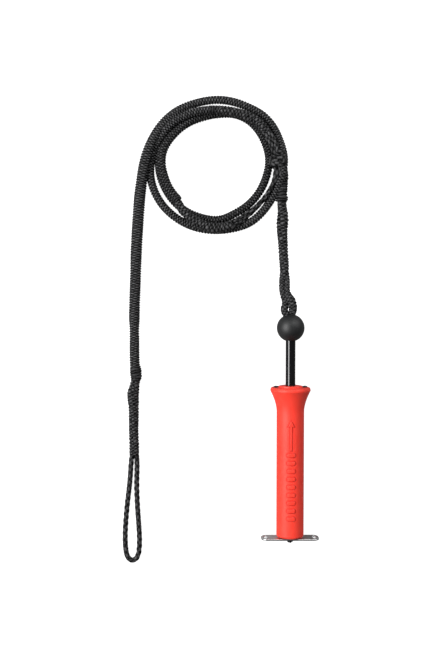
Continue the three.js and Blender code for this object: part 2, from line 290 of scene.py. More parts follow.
def route(points, step):
    """Evenly spaced points, about a step apart, on the smooth line through a route."""
    points = np.asarray(points, float)
    knots = distances(points)
    bend = natural_spline(knots, points)
    t = np.linspace(0, knots[-1], int(knots[-1] / min(step, 0.5)) + 2)
    k = np.clip(np.searchsorted(knots, t, side="right") - 1, 0, len(knots) - 2)
    h = (knots[k + 1] - knots[k])[:, None]
    a, b = (knots[k + 1] - t)[:, None] / h, (t - knots[k])[:, None] / h
    line = a * points[k] + b * points[k + 1] + ((a**3 - a) * bend[k] + (b**3 - b) * bend[k + 1]) * h**2 / 6
    run = distances(line)
    even = np.linspace(0, run[-1], max(2, int(round(run[-1] / step)) + 1))
    return np.stack([np.interp(even, run, line[:, c]) for c in range(3)], axis=1), even


def directions(line):
    along = np.gradient(line, axis=0)
    return along / np.linalg.norm(along, axis=1)[:, None]


def swell(marks, s):
    """A smooth value along a rope, from (distance, value) marks or one number."""
    if isinstance(marks, (int, float)):
        return np.full_like(s, float(marks))
    at, value = np.array(marks, float).T
    k = np.clip(np.searchsorted(at, s, side="right") - 1, 0, len(at) - 2)
    t = np.clip((s - at[k]) / (at[k + 1] - at[k]), 0, 1)
    return value[k] + (value[k + 1] - value[k]) * t * t * (3 - 2 * t)


def braid(u, picks, strands):
    """A tubular braid, over one and under one, of strands with rounded ridges.

    Returns the relief from 0 to 1, the position across the strand on top, and a tone of each strand's own."""
    dive = 0.85  # how far a strand goes down under the next one, against the height of its ridge
    a, b = strands * u + picks, strands * u - picks
    ia, ib = np.floor(a), np.floor(b)
    xa, xb = a - ia - 0.5, b - ib - 0.5
    one = np.cos(PI * xa) + dive * np.sin(PI * (ia + b))
    other = np.cos(PI * xb) - dive * np.sin(PI * (ib + a))
    over = one > other
    relief = np.clip(np.maximum(one, other) / (1 + dive), 0, 1)
    strand = np.where(over, np.mod(ia, strands) * 2.399 + 0.7, np.mod(ib, strands) * 1.713 + 4.1)
    return relief, np.where(over, xa, xb), np.sin(strand * 3.7)


def braided(strands, pick=1.0):
    """The pattern of a braid with this many strands each way, over picks of this length."""
    return lambda u, picks: braid(u, picks / pick, strands)


def wound(u, picks):
    """The pattern of twine wound tightly round a rope."""
    turn = picks - u
    x = turn - np.floor(turn) - 0.5
    return np.cos(PI * x), x, np.sin(np.floor(turn) * 2.1)


def plain(u, s):
    return np.ones_like(u), np.zeros_like(u), np.zeros_like(u)


def skin(name, line, reach, level, upright, ends, pattern_and_painted_shade, matrix=ROW):
    """A closed skin of rings round a line, each point at its own reach, with its relief, yarn and tone as
    attributes; the relief carries painted shade and highlight.
    """
    around = reach.shape[1]
    angle = TAU * np.arange(around)[None, :, None] / around
    spokes = np.cos(angle) * level[:, None, :] + np.sin(angle) * upright[:, None, :]
    rings = line[:, None, :] + reach[..., None] * spokes
    points = np.concatenate([rings.reshape(-1, 3), ends])
    made = make_mesh(name, points, tube_faces(len(line), around), matrix)
    for label, values in zip(("relief", "yarn", "tone"), pattern_and_painted_shade):
        set_attribute(made.data, label, np.concatenate([values.ravel(), [0.5, 0.5]]))
    return made


def unevenness(s, u):
    """A slow wave along and round a rope, by which its pattern wanders."""
    at = s[:, None]
    return np.sin(at * 0.83 + 3 * TAU * u) + np.sin(at * 1.61 - 2 * TAU * u + 1.3) + np.sin(at * 0.41)


def rope_mesh(name, points, radius, pattern, pitch, depth, around, step, crown, twist=0.0, wander=0.0,
              contrast=1.0, shade=RELIEF_AT_SHADE):
    """A rope with real relief along a smooth route. Returns the object, its line in metres, and its length.

    radius, pitch (of one pick) and depth (of the relief) are numbers or (distance, value) marks. crown is how
    long each end takes to draw in, twist the pattern's turns per metre, wander how unevenly it is laid,
    contrast how strongly the painted shade in its crossings and painted highlight on its crests show, and shade
    how light the rope is as a whole."""
    line, s = route(points, step)
    along = directions(line)
    level = np.cross(np.array([0.0, 0.0, 1.0]), along)
    level /= np.linalg.norm(level, axis=1)[:, None]
    u = np.arange(around) / around
    laid_u = (u[None, :] + s[:, None] * twist * MM) % 1.0
    picks = np.concatenate([[0], np.cumsum(np.diff(s) / swell(pitch, s[1:]))])
    sway = wander * unevenness(s, u)
    relief, yarn, tone = pattern((laid_u + 0.02 * sway) % 1.0, picks[:, None] + 0.3 * sway)
    to_end = np.clip(np.minimum(s, s[-1] - s) / crown, 0, 1)
    r = swell(radius, s) * np.sqrt(np.clip(1 - (1 - to_end) ** 2, 0.03, 1))
    thinnest = 0.15 * r[:, None]
    reach = np.maximum(r[:, None] + swell(depth, s)[:, None] * (relief - RELIEF_AT_RADIUS), thinnest)
    ends = np.stack([line[0] - along[0] * r[0] * 0.1, line[-1] + along[-1] * r[-1] * 0.1])
    # painted shade and highlight: the stored relief sets the rope's colour, dark in the crossings and light on the
    # crests
    shown = shade + (relief - RELIEF_AT_SHADE) * contrast
    made = skin(name, line, reach, level, np.cross(along, level), ends, (shown, yarn, tone))
    return made, line * MM, s[-1] * MM


def strand_tube(name, points, radius, pattern, depth, around, step):
    """A thin line in the handle's own frame, free to turn any way."""
    line, s = route(points, step)
    side = np.cross(directions(line)[0], [0.0, 0.3, 1.0])
    sides = []
    for direction in directions(line):
        side = side - direction * (side @ direction)
        side = side / np.linalg.norm(side)
        sides.append(side)
    sides = np.array(sides)
    u = np.arange(around) / around
    pattern_and_painted_shade = pattern(np.repeat(u[None, :], len(s), axis=0), np.repeat(s[:, None], around, axis=1))
    reach = radius - depth * (1 - pattern_and_painted_shade[0])
    ends = np.stack([line[0], line[-1]])
    return skin(name, line, reach, sides, np.cross(directions(line), sides), ends, pattern_and_painted_shade, HANDLE)


def turns(knots):
    """Points of the coil from (angle in degrees, radius, height) about its middle."""
    out = []
    for angle, radius, height in knots:
        a = math.radians(angle)
        out.append((COIL_CENTRE[0] + radius * math.cos(a), COIL_CENTRE[1] + radius * math.sin(a), height))
    return out


def at_height(height, *spots):
    """Route points that all lie at one height."""
    return [(*spot, height) for spot in spots]


# ---- camera
CAMERA_AT = (-0.0589, 0.08285, 0.722)
CAMERA_LENS = 46.4


def make_camera():
    """Straight above the ground, with the handle at the lower right."""
    lens = bpy.data.cameras.new("camera")
    lens.lens = CAMERA_LENS
    lens.clip_start, lens.clip_end = 0.05, 20
    eye = add_object("camera", lens)
    eye.location = CAMERA_AT
    bpy.context.scene.camera = eye


# ---- shader helpers
def shader(name, **values):
    """A new material with a Principled shader, and its node tree."""
    made = bpy.data.materials.new(name)
    made.use_nodes = True
    tree = made.node_tree
    bsdf = tree.nodes["Principled BSDF"]
    for key, value in values.items():
        socket = bsdf.inputs[key.replace("_", " ")]
        socket.default_value = (*value, 1) if isinstance(value, tuple) else value
    return made, tree, bsdf


def wire(tree, bsdf, **sources):
    for key, source in sources.items():
        tree.links.new(source, bsdf.inputs[key.replace("_", " ")])


def feed(tree, socket, value):
    """Gives a node's input a value, or links another node's output to it."""
    if isinstance(value, bpy.types.NodeSocket):
        tree.links.new(value, socket)
    else:
        socket.default_value = value


def node(tree, kind, inputs=None, **settings):
    """A node with its settings and inputs, each a value or another node's socket."""
    made = tree.nodes.new("ShaderNode" + kind)
    for key, value in settings.items():
        setattr(made, key, value)
    for key, value in (inputs or {}).items():
        feed(tree, made.inputs[key], value)
    return made


def object_point(tree):
    return node(tree, "TexCoord").outputs["Object"]


def noise(tree, scale, detail=3.0, roughness=0.55, vector=None):
    """Noise in the object's own metres, or along another vector."""
    if vector is None:
        vector = object_point(tree)
    inputs = {"Vector": vector, "Scale": scale, "Detail": detail, "Roughness": roughness}
    return node(tree, "TexNoise", inputs).outputs["Fac"]


def ranged(tree, value, low, high, out_low=0, out_high=1):
    """A value mapped from one range to another, and held at its ends."""
    inputs = {"Value": value, "From Min": low, "From Max": high, "To Min": out_low, "To Max": out_high}
    return node(tree, "MapRange", inputs).outputs["Result"]


def mixed(tree, factor, one, other):
    """A colour between two, each a socket or (red, green, blue)."""
    made = node(tree, "Mix", {"Factor": factor}, data_type="RGBA")
    for index, colour in ((6, one), (7, other)):
        feed(tree, made.inputs[index], (*colour, 1) if isinstance(colour, tuple) else colour)
    return made.outputs[2]


def maths(tree, operation, a, b=0.0):
    return node(tree, "Math", {0: a, 1: b}, operation=operation).outputs[0]


def attribute(tree, name):
    return node(tree, "Attribute", attribute_name=name).outputs["Fac"]


def bump(tree, bsdf, height, distance):
    """Fine relief on the shader's normal, in metres of height."""
    wire(tree, bsdf, Normal=node(tree, "Bump", {"Height": height, "Distance": distance}).outputs["Normal"])


# ---- materials
def rope_material(name, painted_crossing_shade, painted_crest_highlight, yarns, shine):
    """Filament yarn: painted shade in the strands' crossings and a painted highlight on their crests, with fine
    yarns along each.
    """
    made, tree, bsdf = shader(name, Roughness=shine, Specular_IOR_Level=0.12)
    relief, yarn, tone = (attribute(tree, label) for label in ("relief", "yarn", "tone"))
    fleck = noise(tree, 900, 2)
    cloud = noise(tree, 60, 2)
    lift = maths(tree, "ADD", relief, maths(tree, "MULTIPLY", tone, 0.09))
    lift = maths(tree, "ADD", lift, ranged(tree, fleck, 0.35, 0.65, -0.08, 0.08))
    # painted shade and painted highlight: dark in the strands' crossings, light on their crests, by the stored
    # relief
    colour = mixed(tree, maths(tree, "POWER", ranged(tree, lift, 0.3, 1.0), 2.6), painted_crossing_shade, painted_crest_highlight)
    rough = ranged(tree, cloud, 0.3, 0.7, shine - 0.05, shine + 0.08)
    wire(tree, bsdf, Base_Color=colour, Roughness=rough)
    fibre = maths(tree, "SINE", maths(tree, "MULTIPLY", yarn, TAU * yarns))
    height = maths(tree, "ADD", maths(tree, "MULTIPLY", fibre, 0.5), maths(tree, "MULTIPLY", fleck, 0.8))
    bump(tree, bsdf, height, 0.00009)
    return made


def rubber_material():
    """Satin red moulded rubber with a fine grain, slight rubbing marks, and painted shade in the grooves round the
    grip's marks.
    """
    made, tree, bsdf = shader(
        "red_rubber", Roughness=0.5, Specular_IOR_Level=0.3, Subsurface_Weight=0.25, Subsurface_Scale=0.004
    )
    bsdf.inputs["Subsurface Radius"].default_value = (1.0, 0.12, 0.08)
    grain, cloud, rubbed = noise(tree, 2600, 2), noise(tree, 45, 3), noise(tree, 140, 4, 0.7)
    colour = mixed(tree, ranged(tree, cloud, 0.3, 0.7), (0.93, 0.050, 0.030), (0.97, 0.060, 0.037))
    # painted shade: the colour darkens in the grooves round the grip's raised marks
    colour = mixed(tree, attribute(tree, "crease_and_painted_shade"), colour, (0.62, 0.024, 0.016))
    wire(tree, bsdf, Base_Color=colour, Roughness=ranged(tree, rubbed, 0.3, 0.75, 0.54, 0.43))
    bump(tree, bsdf, grain, 0.00004)
    return made


def cap_material():
    """Red moulded plastic, a little glossier than the grip."""
    made, tree, bsdf = shader("red_plastic", Roughness=0.4, Specular_IOR_Level=0.5)
    cloud = ranged(tree, noise(tree, 90, 3), 0.3, 0.7)
    colour = mixed(tree, cloud, (0.92, 0.048, 0.029), (0.96, 0.058, 0.036))
    wire(tree, bsdf, Base_Color=colour, Roughness=ranged(tree, noise(tree, 300, 3), 0.3, 0.7, 0.36, 0.46))
    bump(tree, bsdf, noise(tree, 3200, 2), 0.00002)
    return made


def plastic_material(name, colour, rough, grain):
    """Black moulded plastic: a fine grain, faint clouding and small scuffs."""
    made, tree, bsdf = shader(name, Roughness=rough, Specular_IOR_Level=0.5)
    cloud = ranged(tree, noise(tree, 120, 3), 0.35, 0.7)
    lighter = tuple(c * 1.35 + 0.002 for c in colour)
    scuffed = ranged(tree, noise(tree, 420, 4, 0.7), 0.35, 0.75, rough + 0.04, rough - 0.024)
    wire(tree, bsdf, Base_Color=mixed(tree, cloud, colour, lighter), Roughness=scuffed)
    bump(tree, bsdf, noise(tree, 2400, 2), grain)
    return made


def along_handle(tree, stretch):
    """Object coordinates turned to the handle's axis and drawn out along it."""
    tilt = math.atan2(AXIS.z, AXIS.y)
    turned = node(tree, "Mapping", {"Vector": object_point(tree), "Rotation": (-tilt, 0, 0)}).outputs[0]
    return node(tree, "Mapping", {"Vector": turned, "Scale": stretch}).outputs[0]


def tube_material():
    """Gloss black anodised tube with faint drawing lines."""
    made, tree, bsdf = shader("black_tube", Roughness=0.1, Specular_IOR_Level=0.5)
    lines = noise(tree, 900, 2, vector=along_handle(tree, (1, 0.01, 1)))
    cloud = ranged(tree, noise(tree, 70, 2), 0.3, 0.7)
    colour = mixed(tree, cloud, (0.003, 0.003, 0.0035), (0.005, 0.005, 0.006))
    wire(tree, bsdf, Base_Color=colour, Roughness=ranged(tree, lines, 0.3, 0.7, 0.10, 0.12))
    return made


def steel_material(name, colour, rough, stretch, scratch):
    """Steel with fine brushing drawn out along one direction, darkened by painted shade where its mask attribute
    says so.
    """
    made, tree, bsdf = shader(name, Roughness=rough, Metallic=1.0)
    where = node(tree, "Mapping", {"Vector": object_point(tree), "Scale": stretch}).outputs[0]
    lines = noise(tree, 2200, 3, 0.6, where)
    darker, painted_shade = (tuple(c * factor for c in colour) for factor in (0.82, 0.1))
    brushed = mixed(tree, ranged(tree, lines, 0.25, 0.75), darker, colour)
    # painted shade: the base colour drops to a tenth where the mask says so
    shown = mixed(tree, attribute(tree, "painted_shade"), brushed, painted_shade)
    wire(tree, bsdf, Base_Color=shown, Roughness=ranged(tree, lines, 0.3, 0.7, rough - 0.06, rough + 0.08))
    bump(tree, bsdf, lines, scratch)
    return made


def floor_material():
    """A pale ground, seen as a light table so that shadows stay faint, and grey in reflections."""
    made, tree, bsdf = shader("floor", Roughness=0.9, Specular_IOR_Level=0.1, Base_Color=(0.25, 0.25, 0.25))
    seen = node(tree, "LightPath").outputs["Is Camera Ray"]
    wire(tree, bsdf, Emission_Strength=maths(tree, "MULTIPLY", seen, 1.0))
    bsdf.inputs["Emission Color"].default_value = (1, 1, 1, 1)
    return made


PLASTICS = {  # shade, roughness and height of the grain
    "black_plastic": ((0.008, 0.008, 0.009), 0.38, 0.00002),
    "ball_plastic": ((0.007, 0.0075, 0.008), 0.5, 0.00003),
}
STEELS = {  # shade, roughness, how the brushing is drawn out, and its depth
    "stainless": ((0.86, 0.87, 0.88), 0.36, (0.04, 1, 1), 0.000002),
    "spring_steel": ((0.42, 0.43, 0.45), 0.32, (1, 1, 1), 0.00001),
}
ROPES = {  # painted shade in the crossings and painted highlight on the crests, yarns to a strand, and roughness
    "rope": ((0.0003, 0.0003, 0.0004), (0.1, 0.1, 0.103), 3, 0.34),
    "whipping_twine": ((0.004, 0.004, 0.0042), (0.04, 0.04, 0.042), 2, 0.4),
    "loop_line": ((0.006, 0.006, 0.007), (0.06, 0.062, 0.068), 3, 0.5),
}


def make_materials():
    made = {"red_rubber": rubber_material(), "red_plastic": cap_material(), "black_tube": tube_material()}
    for kind, looks in ((plastic_material, PLASTICS), (steel_material, STEELS), (rope_material, ROPES)):
        for name, look in looks.items():
            made[name] = kind(name, *look)
    return made


def finish_piece(obj, slot, body, *nodes):
    """Material, slot, body and the CAD nodes that a piece stands for."""
    obj.data.materials.clear()
    obj.data.materials.append(MATERIALS[slot])
    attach(obj, body)
    if nodes:
        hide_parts(*nodes)
    return obj


# ---- the rope's routes
# Routes over the coil are (angle in degrees, radius, height) about its middle; the others are (x, y, z).
NEAR_LEAD = [
    (-11.4, 58.8, 3.8),
    *at_height(3.7,
        (-4.9, 57.3), (2.1, 55.8), (9.2, 53.8), (17.2, 51.9), (28.2, 51.1), (42.1, 50.9), (56.1, 50),
        (68.1, 48.5), (80.1, 47.6), (92, 47.4), (104, 47.7), (118, 48.3), (134.9, 49.1), (151.9, 49.5),
        (167.9, 49.5), (181.8, 48.7), (193.8, 48), (205.8, 47.3), (216.8, 47), (227.9, 46.7), (239.9, 46.3),
        (251.9, 45.9), (263.9, 45.9), (276, 45.4), (288, 43.7), (300, 42.8), (312.1, 42.5), (324.1, 42.4),
        (336.1, 42.6), (348.2, 43.1), (360.2, 44.2), (372.2, 45), (384.2, 45.4), (396.2, 46.1),
        (408.1, 46.7), (420.1, 46.7), (432.1, 45.8)),
    (444.1, 44.1, 3.6), (456, 43, 3.9), (468, 42.5, 4.4), (480.1, 42.9, 5.1), (492.3, 43.5, 6),
    (504.5, 44.3, 7), (516.8, 45.5, 8), (529, 46.3, 8.8), (541.2, 45.8, 9.4), (553.3, 44.9, 9.8),
    (565.3, 44.4, 10), (577.1, 43.9, 10), (585, 44, 9.9),
]
NEAR_END_WHIPPING = [(576.7, 44.1, 10), (580.4, 44.2, 9.9), (584, 44.6, 9.8)]
NEAR_END_SPLICE = [
    (583, 44.5, 9.8), (586.9, 45.9, 9.8), (590.8, 47.2, 9.9), (595.7, 48.3, 10), (601.6, 49.4, 10),
    (607.5, 50.4, 9.9), (614.3, 51.6, 9.9), (621.2, 52.7, 10), (628, 53.3, 10), (634.9, 53.2, 9.8),
    (640.8, 52.7, 9.4), (645.7, 52.2, 9),
]
OUTER_LEG = [
    (636.9, 54.3, 9.2), (641.8, 54.1, 8.8), (646.7, 53.5, 8.2), (651.7, 52.6, 7.6), (657.8, 51, 6.4),
    (663.9, 49.7, 4.8), (671.1, 48.9, 3.6), (679.2, 48.6, 3.2), (688.1, 49.7, 3.6), (696.9, 51.2, 4.8),
    (703.1, 52.1, 6.4),
]
INNER_LEG = [
    (636.9, 51.2, 9.2), (641.8, 50.6, 8.8), (646.7, 50, 8.3), (651.7, 49.4, 7.8), (657.7, 48.7, 7),
    (663.7, 48.3, 6.6), (670.6, 48.5, 6.6), (678.6, 48.7, 6.8), (687.5, 49.2, 7.2), (696.3, 49.8, 7.8),
    (702.7, 50.3, 8.2),
]
HITCH_CENTRE = (-9.6, 223.2, 10.2)
FAR_INNER_LEG = [
    (11.4, 49.1, 9.6), (16, 48.9, 9.2), (21, 48.6, 9), (27.1, 48.5, 8.8), (33.2, 48.7, 8.7),
    (39.3, 49.2, 8.6), (45.4, 49.5, 8.6),
]
FAR_OUTER_LEG = [
    (10.8, 52.7, 10.4), (15.9, 52.8, 9.8), (21, 52.5, 9.4), (27.1, 52.1, 9), (33.2, 51.5, 8.8),
    (39.3, 50.7, 8.6), (45.4, 50, 8.6),
]
FAR_START_SPLICE = at_height(8.8,
    (31.2, 50.5), (39.3, 50.3), (47.4, 49.7), (54.4, 48.8), (61.5, 47.6), (68.6, 46.6), (75.8, 45.9),
    (82.9, 45.6), (90, 45.8), (93.1, 45.8))
FAR_START_WHIPPING = [(90.7, 45.8, 8.8), (94.6, 45.9, 8.8), (98.7, 46.2, 8.8)]
FAR_LEAD = [
    (95.1, 46, 8.8), (104.3, 46.7, 8.9), (114.4, 47.7, 8.9), (125.6, 49.2, 8.7), (136.6, 50.8, 8.2),
    (146.6, 51.8, 7.5), (156.4, 53, 6.5), (166.2, 54.4, 5.3), (176, 55.3, 4.2), (185.8, 56.3, 3.6),
    *at_height(3.7,
        (195.9, 56.7), (207.9, 56.7), (217.9, 56.5), (227.9, 56), (239.9, 55.5), (251.9, 55), (263.9, 54.6),
        (276, 54.5), (288, 55), (300, 55.7)),
    (312.1, 55.2, 3.5), (323.1, 54.6, 3.8), (332, 54.5, 4.4), (339.8, 54.8, 5.6), (348.4, 55.4, 7.4),
    (356.2, 56.2, 8.6), (365.2, 56.9, 8.4), (373.6, 57, 6.8), (381.9, 57.2, 5), (390.1, 57.7, 3.9),
    *at_height(3.7,
        (398.1, 58), (408.1, 57.6), (420.1, 56.3), (432.1, 55.8), (444.1, 55.7), (456, 55.5)),
    (468, 55.6, 3.6), (480, 56.1, 4.3), (492.2, 56.6, 5.6), (504.4, 56.8, 7), (516.6, 57.2, 8),
    (528.7, 58.7, 8.2), (536.6, 60.1, 7.6), (544.4, 61.9, 6.8),
]
FAR_RUN = [
    (-124.9, 205.6, 5.4), (-126.2, 195.1, 5.2), (-127, 185, 5.1), (-127.7, 174.8, 5.1),
    (-128.6, 160.1, 5.15), (-129.3, 144.5, 5.15), (-129.9, 124.2, 5.15), (-130.5, 107.7, 5.1),
    (-130.8, 92.6, 5), (-130.7, 74, 4.95), (-130.7, 63.9, 4.8), (-130.4, 53.7, 4.6), (-129.9, 47.8, 4.6),
]
NEAR_LEFT_STRAND = [
    (-2.9, 93.5, 19.4), (-4.4, 96.3, 19.6), (-5.3, 99.1, 19.7), (-4.7, 102.6, 19.6), (-4.5, 106.1, 19.2),
    (-5.6, 109.6, 18.8), (-6.7, 113.4, 18), (-7.1, 119, 16.4), (-6.8, 124.9, 14.4), (-5.8, 131.3, 12),
]
NEAR_RIGHT_STRAND = [
    (0.6, 93.7, 19.4), (1.3, 96.7, 19.7), (1.8, 100, 20), (1.2, 103.6, 20.2), (0.3, 106.7, 20.2),
    (-1.5, 110.1, 19.6), (-2.7, 114.1, 18.2), (-2.7, 119.4, 16.2), (-2.7, 124.9, 14.2), (-3.3, 131.3, 12),
]
NEAR_SPLICE = [
    (-4.7, 123.2, 15), (-4.7, 130.9, 12.4), (-4.7, 137.8, 9.8), (-5, 144.2, 7.6), (-5.3, 152.4, 5.6),
    (-5.6, 159.2, 5), (-6, 166, 5.1), (-5.7, 174.8, 5.4), (-5.6, 181.6, 5), (-6.1, 187.1, 4.9),
    (-6.3, 192.2, 4.9),
]
NEAR_WHIPPING = [
    (-6.5, 190.2, 5.5), (-6.3, 194.2, 5.5), (-5.8, 198.9, 4.9), (-5.1, 203.3, 4.3), (-4.2, 207.5, 4),
]
FAR_WHIPPING = [(-129.9, 52.5, 4.7), (-129.6, 47.6, 5.1), (-129.3, 43.4, 5.1), (-129.6, 39, 5)]
FAR_SPLICE = [
    (-129.7, 42, 4.7), (-130.4, 36, 4.9), (-131.7, 29.5, 5.3), (-131.6, 22, 5.1), (-131.3, 14, 4.7),
    (-131.4, -2, 4.4), (-131, -16, 4.3), (-131, -24.4, 4.2),
]
FAR_LOOP = [
    (-131.8, -17, 3), (-133.2, -25.2, 2.3),
    *at_height(2.2,
        (-134.7, -44), (-136.6, -61.2), (-138.3, -80), (-138.8, -95), (-138.1, -104.6), (-136, -110.6),
        (-132.9, -112.6), (-129.4, -110.8), (-127.3, -105.4), (-126.7, -95), (-127.5, -80), (-128.7, -61.2),
        (-129, -44)),
    (-129.1, -25.2, 2.3), (-130.2, -17, 3),
]


# ---- the rope's parts
LEAD_R = 3.45  # both leads, where nothing swells them
# Weaves: how many strands run each way, and how closely the mesh follows them round and along.
COVER = dict(pattern=braided(4), around=48, step=0.3)
COARSE = dict(pattern=braided(4), around=64, step=0.3)
FINE = dict(pattern=braided(5), around=64, step=0.3)
CORE = dict(pattern=braided(3), around=48, step=0.35)
SPLICE = dict(cloth=COARSE, pitch=2.9, depth=1.2, crown=2.4, wander=0.3, contrast=0.85, shade=0.7)
# the thin eyes' lower shade darkens their colour, as painted shade for the deep shadows round the hitch
THIN_EYE = dict(cloth=CORE, pitch=6.5, depth=0.8, crown=1.2, wander=0.2, contrast=0.8, shade=0.66)


def lay_cord(name, points, radius, diameter, cloth, nodes=(), leaves=None, lay="coiled", **shape):
    """One length of rope, riding on the core."""
    piece, line, length = rope_mesh(name, points, radius, **cloth, **shape)
    finish_piece(piece, "rope", "core", *nodes)
    return piece


def whipping(name, points, radius, pitch, depth, nodes=()):
    """Twine wound over a rope's end."""
    piece, _, _ = rope_mesh(
        name, points, radius, wound, pitch, depth, around=64, step=0.16, crown=0.9, wander=0.4, contrast=0.9
    )
    return finish_piece(piece, "whipping_twine", "core", *nodes)


def hitch_loops():
    """The two thin eyes' bends, each passed through the other as in a reef knot, in the hitch's own frame."""
    near = [
        (-1.9, -7.2, -1.2), (-2.2, -5.0, -2.0), (-3.4, -2.6, -2.0), (-4.9, -0.8, -1.4), (-4.9, 0.8, 0.3),
        (-2.9, 1.8, 1.8), (0.0, 2.0, 2.2),
    ]
    far = [
        (-3.6, 7.4, -1.2), (-3.9, 5.2, -1.7), (-4.2, 3.0, 0.2), (-4.8, 0.9, 2.0), (-4.9, -0.6, 1.6),
        (-2.9, -1.8, 1.6), (0.0, -2.0, 1.7),
    ]
    return [half + [(-x, y, z) for x, y, z in reversed(half[:-1])] for half in (near, far)]


def eye_through_hitch(left_leg, right_leg, loop):
    """One thin eye: down one leg, round through the hitch and back up the other."""
    lean = Matrix.Rotation(math.radians(-HITCH_LEAN), 3, "Y")
    middle = [tuple(Vector(HITCH_CENTRE) + lean @ Vector(point)) for point in loop]
    return left_leg + middle + right_leg[::-1]


def near_rope():
    """From the ball: an eye of two legs, its splice, a whipping, and the lead that starts the coil."""
    ball_top = on_axis(BALL_Y + BALL_R - 0.4)
    eye = dict(cloth=COARSE, pitch=2.7, depth=0.8, crown=1.6, wander=0.15, contrast=0.65)
    eye.update(leaves=ball_top, lay="loose")
    strand = [(0, 2.7), (4, 3.1), (7, 3.1), (11, 3.0), (16, 2.7), (21, 2.4), (60, 2.4)]
    lobe = [(0, 2.8), (4, 3.3), (7, 3.5), (10, 3.8), (14, 3.7), (18, 3.1), (22, 2.5), (27, 2.4), (60, 2.4)]
    lay_cord("near_eye_left", NEAR_LEFT_STRAND, strand, 5.2, **eye, nodes=["near_eye_loop"], twist=14)
    lay_cord("near_eye_right", NEAR_RIGHT_STRAND, lobe, 5.4, **eye, twist=-10)
    marks = [
        (0, 2.8), (8, 3.8), (16, 3.95), (30, 4.0), (36, 4.2), (44, 4.5), (53, 5.1), (58, 4.5), (64, 3.95),
        (72, 3.9),
    ]
    splice = dict(SPLICE, lay="loose", twist=5)
    lay_cord("near_splice_rope", NEAR_SPLICE, marks, 8.0, **splice, nodes=["near_splice"])
    marks = [(0, 4.7), (2, 5.3), (4, 5.2), (6, 4.3), (9, 4.3), (12, 3.9), (18, 3.5)]
    whipping("near_whipping_twine", NEAR_WHIPPING, marks, 2.4, 0.8, ["near_whipping"])
    points = [(-5.0, 204.5, 4.0)] + turns(NEAR_LEAD)
    marks = [(0, 2.8), (14, 3.3), (30, LEAD_R), (600, LEAD_R)]
    lead = dict(cloth=COVER, pitch=2.4, depth=1.2, crown=1.6, twist=6, shade=0.64)
    lay_cord("near_lead_rope", points, marks, 2 * LEAD_R, **lead, nodes=["rope_coil"])


def near_end():
    """The near lead's end: a whipping, a splice, and a thin eye through the hitch."""
    whipping("near_end_whipping", turns(NEAR_END_WHIPPING), [(0, 3.7), (3, 4.0), (7, 3.7)], 1.7, 0.6)
    marks = [(0, 3.4), (12, 3.8), (38, 4.1), (52, 4.0), (60, 3.6)]
    lay_cord("near_end_splice", turns(NEAR_END_SPLICE), marks, 7.6, **SPLICE, twist=9)
    points = eye_through_hitch(turns(INNER_LEG), turns(OUTER_LEG), hitch_loops()[0])
    marks = [(0, 2.1), (56, 2.1), (64, 2.5), (96, 2.5), (104, 2.1)]
    lay_cord("near_end_eye", points, marks, 4.4, **THIN_EYE, twist=8)


def far_start():
    """The far lead's start: the other thin eye, its splice and a whipping."""
    points = eye_through_hitch(turns(FAR_INNER_LEG)[::-1], turns(FAR_OUTER_LEG)[::-1], hitch_loops()[1])
    marks = [(0, 2.1), (26, 2.1), (32, 2.5), (62, 2.5), (68, 2.1)]
    lay_cord("far_start_eye", points, marks, 4.4, **THIN_EYE, twist=-8)
    marks = [(0, 3.5), (10, 3.9), (22, 3.9), (34, 3.6), (52, 3.5)]
    lay_cord("far_start_splice", turns(FAR_START_SPLICE), marks, 7.4, **SPLICE, twist=7)
    whipping("far_start_whipping", turns(FAR_START_WHIPPING), [(0, 3.6), (3, 3.8), (7, 3.6)], 1.7, 0.6)


def far_rope():
    """The far lead, round the coil and straight down, with its whipping, splice and loop."""
    marks = [
        (0, LEAD_R), (355, LEAD_R), (380, 3.9), (410, 4.4), (440, 4.75), (460, 4.85), (500, 4.85),
        (520, 4.65), (560, 4.6), (570, 4.05), (600, 4.2),
    ]
    lead = dict(
        cloth=COVER, pitch=[(0, 2.4), (345, 2.4), (405, 2.2), (600, 2.1)],
        depth=[(0, 1.1), (345, 1.1), (420, 1.25), (600, 1.25)], crown=1.6, twist=-5,
    )
    lay_cord("far_lead_rope", turns(FAR_LEAD) + FAR_RUN, marks, 7.6, **lead, nodes=["far_lead"])
    marks = [(0, 4.3), (4, 4.9), (9, 4.8), (14, 3.9)]
    whipping("far_whipping_twine", FAR_WHIPPING, marks, 2.0, 0.7, ["far_whipping"])
    marks = [(0, 3.6), (5, 4.0), (13, 4.95), (19, 4.8), (25, 4.3), (45, 4.0), (66, 4.1)]
    splice = dict(SPLICE, cloth=FINE, pitch=2.6, wander=0.35, contrast=0.8, lay="loose", twist=4)
    lay_cord("far_splice_rope", FAR_SPLICE, marks, 8.0, **splice, nodes=["far_splice"])
    loop = dict(cloth=CORE, pitch=5.4, depth=0.6, crown=1.2, contrast=0.6, shade=0.68, lay="loose", twist=3)
    lay_cord("far_loop_rope", FAR_LOOP, 2.2, 4.2, **loop, nodes=["far_loop"])


# ---- the handle's parts
def turned_part(name, corners, steps, sides, slot, body, stands_for, tools=()):
    """A lathed piece with rounded corners, and with the tools cut out of it."""
    piece = lathe(name, fillet(corners, steps), sides)
    if tools:
        carve(piece, *tools)
    return finish_piece(piece, slot, body, stands_for)


def ring_corners(inner, outer, low, high, soft):
    """The corners of a ring, with their four radii from the low inner one on."""
    return list(zip((inner, outer, outer, inner), (low, low, high, high), soft))


